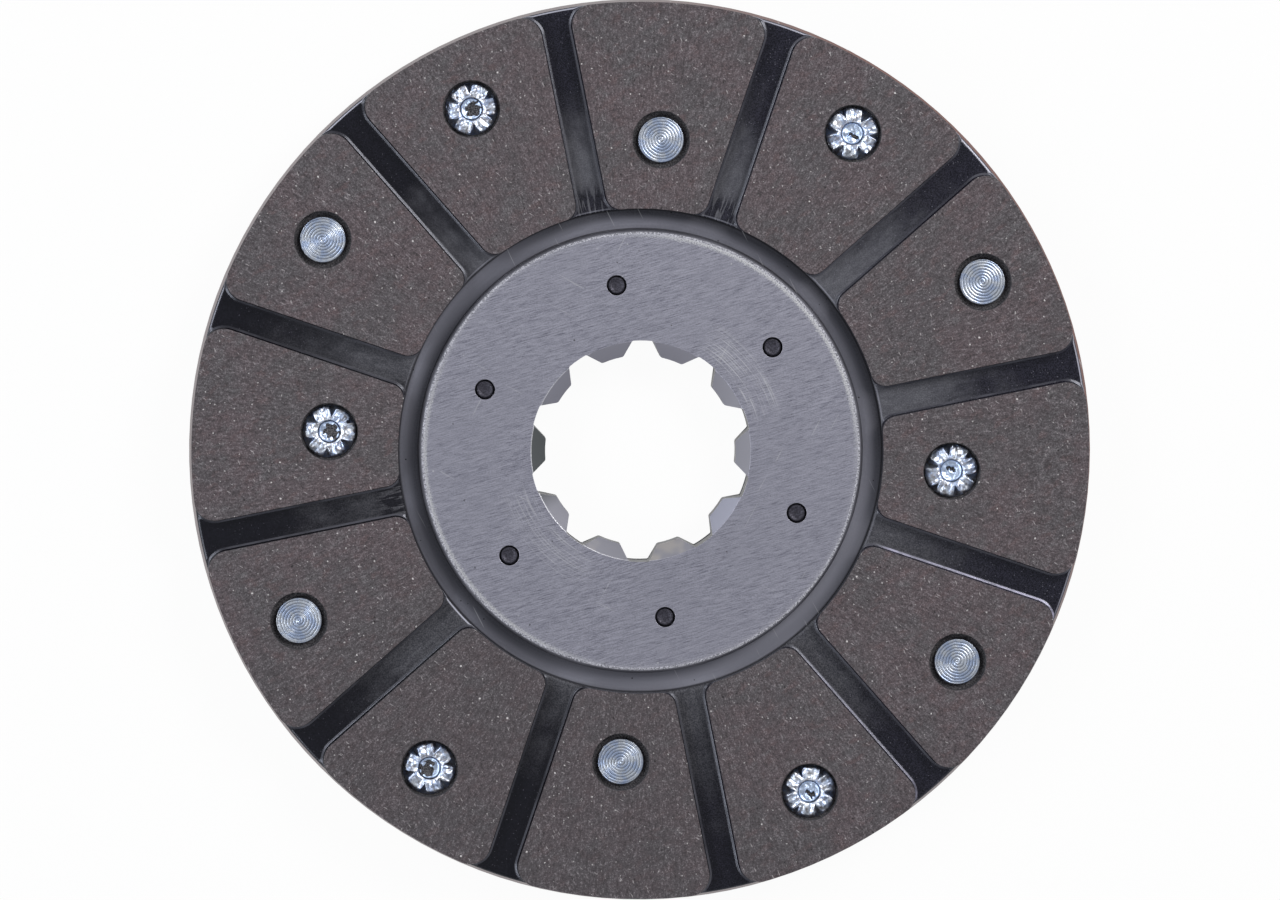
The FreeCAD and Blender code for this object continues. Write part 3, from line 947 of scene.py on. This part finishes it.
# The rolled end from its seat outwards, over the crest and down the tube: radius and height
ROLLED_END = (
    (3.0, 0.0), (3.6, 0.0), (4.2, 0.0), (PETAL_RADIUS - 0.12, 0.02),
    (PETAL_RADIUS - 0.03, 0.14), (PETAL_RADIUS, 0.34), (PETAL_RADIUS, 0.54),
    (4.80, 0.68), (4.70, 0.78), (4.54, 0.84), (4.34, 0.88), (4.12, 0.91), (3.90, 0.94),
    (3.68, 0.965), (3.46, 0.985), (3.24, 1.01), (3.02, 1.03),
    (2.80, PETAL_HEIGHT), (2.60, PETAL_HEIGHT), (2.42, 1.02), (2.26, 0.97), (2.12, 0.88),
    (2.02, 0.74), (1.95, 0.58), (1.90, 0.40), (TUBE_RADIUS, 0.22),
    (1.84, 0.10), (1.78, 0.04), (1.69, 0.0),
)

# The dished bottom of the hollow, and the rings of points across it
BOTTOM_RINGS = 16
BOTTOM_RADIUS = 1.60
BOTTOM_HEIGHT = -0.02
BOTTOM_DISH = 0.16


def rolled_profile():
    """Rolled end of a rivet from its seat outwards, over its crest and down into the hollow."""
    points = list(ROLLED_END)
    for step in range(1, BOTTOM_RINGS + 1):
        radius = BOTTOM_RADIUS * (1 - step / BOTTOM_RINGS)
        dish = BOTTOM_DISH * (1 - (radius / BOTTOM_RADIUS) ** 2)
        points.append((radius, BOTTOM_HEIGHT - dish))
    return [(radius, SEAT_HEIGHT + height) for radius, height in points]


def clamped(value, low=0.0, high=1.0):
    """Value held within low..high."""
    return min(high, max(low, value))


def wavering(point, scale, luck):
    """Smooth random value, -1 to 1, at a point of the disc's plane."""
    return noise.noise(Vector((point.x * scale, point.y * scale, luck)))


def turned_face(vert, luck, dirt_and_shade):
    """Cut the spiral of the turning tool into the head's face."""
    radius = vert.co.xy.length
    angle = math.atan2(vert.co.y, vert.co.x)
    round_head = Vector((math.cos(angle), math.sin(angle), luck))
    swell = 1 + TURNED_SWELL * noise.noise(round_head * 1.3)
    fade = clamped((HEAD_RADIUS - HEAD_EDGE_ROUND - radius) / TURNED_FADE)
    wobble = TURNED_WOBBLE * wavering(vert.co, 0.9, luck)
    wave = 0.5 + 0.5 * math.cos(2 * math.pi * (radius + wobble) / TURNED_PITCH - angle)
    # Grime down in the valleys of the turned rings
    vert[dirt_and_shade] = fade * wave ** 2.5
    vert.co.z += TURNED_DEPTH * swell * fade * wave ** 1.5
    if radius < CENTRE_MARK_RADIUS:
        vert.co.z += CENTRE_MARK_DEPTH * wavering(vert.co, 4, luck)


def petalled(vert, petals, luck, dirt_and_shade):
    """Split the rolled end into petals and ruffle them."""
    radius = vert.co.xy.length
    # Painted shade over the tube's mouth
    if radius < TUBE_RADIUS + 0.05:
        vert[dirt_and_shade] = MOUTH_SHADE
        return
    angle = math.degrees(math.atan2(vert.co.y, vert.co.x)) % 360
    index, offset = min(
        ((i, (angle - petal["middle"] + 180) % 360 - 180) for i, petal in enumerate(petals)),
        key=lambda pair: abs(pair[1]))
    petal = petals[index]
    half = petal["half"]
    tip = petal["tip"] + TIP_RAGGED * noise.noise(Vector((angle * 0.20, luck, 0)))
    split = clamped((abs(offset) - half) / (PETAL_PITCH / 2 - half))
    tip = min(PETAL_RADIUS, tip) - (tip - SPLIT_START) * split
    reach = max(0.0, (radius - PETAL_ROOT) / (PETAL_RADIUS - PETAL_ROOT))
    new_radius = PETAL_ROOT + reach * (tip - PETAL_ROOT) if radius > PETAL_ROOT else radius
    share = clamped(offset / half, -SHARE_LIMIT, SHARE_LIMIT)
    swell = clamped((new_radius - SWELL_START) / SWELL_WIDTH)
    lift = petal["flute"] * math.cos(math.pi * (petal["flutes"] * share + petal["phase"]))
    lift += EDGE_CURL * clamped((abs(share) - EDGE_CURL_START) / (1 - EDGE_CURL_START)) ** 1.5
    lift += (petal["lean"] * reach + petal["twist"] * share) * min(1.0, reach * 2)
    lift += CRUMPLE * wavering(vert.co, 1.3, luck)
    crease = wavering(vert.co, 2.6, luck)
    lift += CREASE * crease
    if vert.co.z > SEAT_HEIGHT + PETAL_TOP_START:
        vert.co.z = max(SEAT_HEIGHT + PETAL_LEAST_HEIGHT, vert.co.z + lift * swell)
        # Painted shade in the creases of the folds
        vert[dirt_and_shade] = clamped(-1.6 * crease - 0.25) * swell
        # Painted shade at the tube's mouth
        if radius < MOUTH_RADIUS:
            vert[dirt_and_shade] = MOUTH_SHADE
    scale = new_radius / radius
    vert.co.x *= scale
    vert.co.y *= scale


# Where the dust in a rivet's hollow lies, off its middle: all over it, or only in a torn slash
HOLLOW_DRIFT = {
    1: (0.3, -0.45), 3: (0.38, -0.06), 5: (0.40, 0.02),
    7: (-0.42, -0.25), 9: (0.3, -0.5), 11: (0.0, 0.35),
}
REAR_DRIFT = (0.1, -0.2)
DUSTY_RIVETS = (3, 5, 7)
DUSTY_REACH = 1.42
SLASH_TURN = -28.0
SLASH_HALF = 0.50
SLASH_REACH = 0.36
SLASH_DEPTH = 0.4
DENT_DEPTH = 0.20
DENT_GRAIN = 0.035
DENT_FADE = 0.35
DUST_EDGE = 0.3


def dented(vert, index, drift, way, dust):
    """Dent the bottom of a rivet's hollow and lay the dust in it.

    The dust lies round the drift, or in a slash there that runs this way.
    """
    place = vert.co.copy()
    inward = min(1.0, (TUBE_RADIUS - place.xy.length) / DENT_FADE)
    vert.co.z += inward * DENT_DEPTH * wavering(place, 0.9, 50.0 + index)
    vert.co.z += inward * DENT_GRAIN * wavering(place, 3.4, 60.0 + index)
    ragged = 1 + 0.75 * wavering(place, 1.3, 70.0 + index)
    offset = place.xy - drift.xy
    if index in DUSTY_RIVETS:
        inside = DUSTY_REACH * ragged - offset.length
    else:
        along = clamped(offset.dot(way.xy), -SLASH_HALF, SLASH_HALF)
        torn = 1 + 1.5 * wavering(place, 2.2, 80.0 + index)
        inside = SLASH_REACH * ragged * torn - (offset - along * way.xy).length
    vert[dust] = clamped(0.5 + inside / DUST_EDGE)
    if index not in DUSTY_RIVETS:
        vert.co.z -= inward * SLASH_DEPTH * vert[dust]


def rivet(index, platings):
    """Semi-tubular rivet: turned flat head on one side, split and rolled end on the other."""
    luck = random.Random(RIVET_SEED + index)
    turned_over = index % 2 == 0
    turn = Matrix.Rotation(math.radians(index * RIVET_TURN), 4, "Z")
    drift = turn.inverted() @ Vector((*HOLLOW_DRIFT.get(index, REAR_DRIFT), 0))
    way = turn.inverted() @ polar(1.0, SLASH_TURN)
    bm = bmesh.new()
    spun(bm, head_profile() + rolled_profile(), RIVET_STEPS)
    dirt_and_shade = bm.verts.layers.float.new(DIRT_AND_SHADE)
    hollow = bm.verts.layers.float.new(HOLLOW)
    dust = bm.verts.layers.float.new(DUST)
    petals = []
    for step in range(PETAL_COUNT):
        petals.append({
            "middle": step * PETAL_PITCH + luck.uniform(-4, 4),
            "half": luck.uniform(17.5, 21.5),
            "tip": luck.uniform(4.5, 4.85),
            "flutes": luck.choice((1, 1.5, 2)),
            "phase": luck.choice((0, 0.5, 1)),
            "lean": luck.uniform(-0.14, 0.16),
            "twist": luck.uniform(-0.12, 0.12),
        })
        petals[-1]["flute"] = luck.uniform(0.13, 0.17) / petals[-1]["flutes"]
    for vert in bm.verts:
        reach = vert.co.xy.length
        if vert.co.z < -SEAT_HEIGHT - HEAD_THICKNESS + 0.001:
            turned_face(vert, 10.0 + index, dirt_and_shade)
        elif vert.co.z > SEAT_HEIGHT + 0.25 and reach > TUBE_RADIUS:
            petalled(vert, petals, 30.0 + index, dirt_and_shade)
        elif vert.co.z > 0 and reach < TUBE_RADIUS - 0.02:
            vert[hollow] = 1.0
            dented(vert, index, drift, way, dust)
    bmesh.ops.transform(bm, matrix=turn, verts=bm.verts)
    if turned_over:
        bmesh.ops.scale(bm, vec=(1, 1, -1), verts=bm.verts)
    bmesh.ops.translate(bm, vec=rivet_place(index), verts=bm.verts)
    name = f"semi_tubular_rivet_{index + 1:02d}"
    for face in bm.faces:
        face.material_index = int((face.calc_center_median().z > 0) != turned_over)
    return add_piece(name, bm, platings, [f"rivet_{index + 1:02d}"])


def build_disc():
    """Every piece of the disc."""
    lining_materials = [ground_lining(), moulded_skin(), drilled_wall()]
    moulded_lining("moulded_lining_front", "front_lining", 1, lining_materials)
    moulded_lining("moulded_lining_rear", "rear_lining", -1, lining_materials)
    steel = ground_steel()
    hub_plate("ground_hub_plate_front", "front_hub_plate", 1, steel)
    hub_plate("ground_hub_plate_rear", "rear_hub_plate", -1, steel)
    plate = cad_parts["core_plate"]
    plate.data.materials.clear()
    plate.data.materials.append(satin_steel())
    pin_steel = blackened_steel()
    for index in range(PIN_COUNT):
        hub_pin(index, pin_steel)
    platings = [
        plated_zinc("Turned zinc plating", 0.26, 0.38, 0.0),
        plated_zinc("Rolled zinc plating", 0.30, 0.44, 0.7),
    ]
    for index in range(GROOVE_COUNT):
        rivet(index, platings)


# Stage: sizes in metres, angles in degrees

FLOOR_HEIGHT = -0.006
FLOOR_RADIUS = 2.2
FLOOR_BEND = 0.8
BEND_STEPS = 12
BACKDROP_HEIGHT = 2.2
FLOOR_STEPS = 96
FLOOR_GLOW = 0.95
WORLD_COLOUR = (0.94, 0.96, 1.0, 1)
WORLD_STRENGTH = 0.30

CAMERA_DISTANCE = 1.5
CAMERA_TILT = 3.2
CAMERA_SIDE = 125.0
FRAME_WIDTH = 0.2346

# Soft boxes: side they stand at, tilt from the disc's axis, size, power and colour
LAMP_DISTANCE = 0.9
LAMPS = {
    "Key soft box": (40, 44, 0.40, 4.75, (1.0, 0.99, 0.97)),
    "Side soft box": (150, 46, 0.36, 2.3, (0.94, 0.97, 1.0)),
    "Low soft box": (208, 46, 0.36, 2.1, (0.92, 0.96, 1.0)),
}


def towards(side, tilt, distance):
    """Point at a distance from the disc's middle, tilted from its axis towards one side."""
    lean = math.radians(tilt)
    way = polar(math.sin(lean), side)
    return distance * Vector((way.x, way.y, math.cos(lean)))


def aimed(thing, point):
    """Put a camera or lamp at this point and turn it to the disc's middle."""
    back = point.normalized()
    right = Vector((0, 1, 0)).cross(back).normalized()
    above = back.cross(right)
    frame_matrix = Matrix((right, above, back)).transposed().to_4x4()
    thing.matrix_world = Matrix.Translation(point) @ frame_matrix


def add_camera():
    """Camera at the photograph's viewing angle, with a long lens."""
    data = bpy.data.cameras.new("Camera")
    data.lens = data.sensor_width * CAMERA_DISTANCE / FRAME_WIDTH
    camera = bpy.data.objects.new("Camera", data)
    bpy.context.scene.collection.objects.link(camera)
    aimed(camera, towards(CAMERA_SIDE, CAMERA_TILT, CAMERA_DISTANCE))
    bpy.context.scene.camera = camera


def add_lamp(name, side, tilt, size, power, colour):
    """Soft box that looks at the disc's middle."""
    data = bpy.data.lights.new(name, "AREA")
    data.shape = "SQUARE"
    data.size = size
    data.energy = power
    data.color = colour
    lamp = bpy.data.objects.new(name, data)
    bpy.context.scene.collection.objects.link(lamp)
    aimed(lamp, towards(side, tilt, LAMP_DISTANCE))


def add_floor():
    """Plain pale floor that rises to a backdrop far from the disc."""
    bm = bmesh.new()
    profile = [(0.0, 0.0), (FLOOR_RADIUS, 0.0)]
    for step in range(1, BEND_STEPS + 1):
        turn = math.radians(step * 90 / BEND_STEPS)
        across = FLOOR_RADIUS + FLOOR_BEND * math.sin(turn)
        profile.append((across, FLOOR_BEND * (1 - math.cos(turn))))
    profile.append((FLOOR_RADIUS + FLOOR_BEND, BACKDROP_HEIGHT))
    spun(bm, profile, FLOOR_STEPS)
    bmesh.ops.recalc_face_normals(bm, faces=bm.faces)
    bmesh.ops.reverse_faces(bm, faces=bm.faces)
    bmesh.ops.translate(bm, vec=(0, 0, FLOOR_HEIGHT), verts=bm.verts)
    mesh = bpy.data.meshes.new("Floor")
    bm.to_mesh(mesh)
    bm.free()
    mesh.shade_smooth()
    mesh.materials.append(pale_floor())
    floor = bpy.data.objects.new("Floor", mesh)
    bpy.context.scene.collection.objects.link(floor)


def pale_floor():
    """White paper that looks white to the camera and in reflections, with a faint shadow."""
    make = Maker(
        "Pale floor", Base_Color=(0.8, 0.8, 0.8, 1), Roughness=0.9, Specular_IOR_Level=0.0)
    glow = make.node("ShaderNodeEmission", {"Color": (1, 1, 1, 1), "Strength": 1.0}).outputs[0]
    path = make.node("ShaderNodeLightPath").outputs
    seen = make.math("MAXIMUM", path["Is Camera Ray"], path["Is Glossy Ray"])
    seen = make.math("MAXIMUM", seen, path["Is Transmission Ray"])
    mixed = make.node("ShaderNodeMixShader", {
        0: make.times(seen, FLOOR_GLOW), 1: make.shader.outputs[0], 2: glow})
    make.tree.links.new(mixed.outputs[0], make.tree.nodes["Material Output"].inputs["Surface"])
    return make.material


def add_world():
    """Even pale light from all round."""
    world = bpy.data.worlds.new("Studio")
    bpy.context.scene.world = world
    world.use_nodes = True
    background = world.node_tree.nodes["Background"]
    background.inputs["Color"].default_value = WORLD_COLOUR
    background.inputs["Strength"].default_value = WORLD_STRENGTH


build_disc()
add_floor()
add_world()
for lamp_name, lamp_values in LAMPS.items():
    add_lamp(lamp_name, *lamp_values)
add_camera()
bpy.context.scene.view_settings.view_transform = "Standard"
